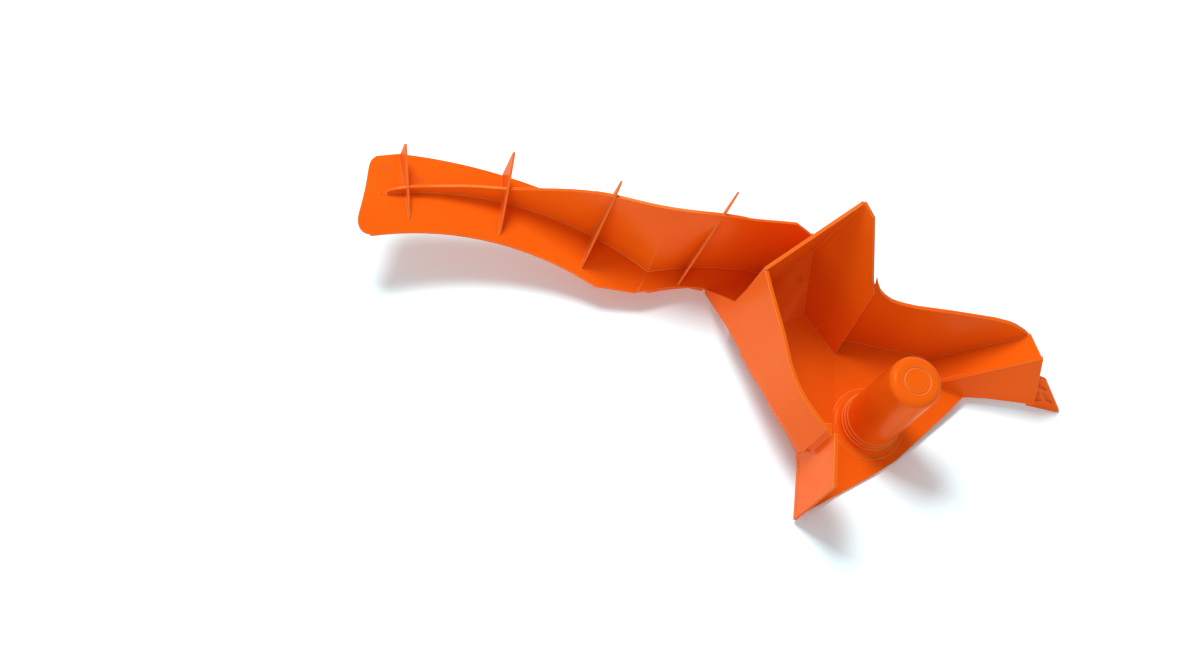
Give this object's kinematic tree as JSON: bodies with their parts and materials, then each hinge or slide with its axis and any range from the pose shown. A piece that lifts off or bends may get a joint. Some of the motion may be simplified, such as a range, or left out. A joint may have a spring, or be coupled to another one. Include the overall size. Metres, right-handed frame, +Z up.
{
  "type": "mower mulching plug",
  "caption": "Thin-walled orange plastic moulding with an upright grip post, a hopper-shaped head and a long curved arm, which closes a lawn mower's grass discharge tunnel.",
  "frame": {"origin": "middle of the overall box in plan, on the ground that the moulding lies on", "axes": "+X along the length, from the tip of the long arm to the catch; +Y to the back, away from the grip's free side; +Z straight up from the ground"},
  "size_m": [0.5608, 0.343, 0.1828],
  "materials": {
    "orange_plastic": "satin gloss"
  },
  "bodies": {
    "root": {"mulching_plug": "orange_plastic"}
  },
  "joints": []
}
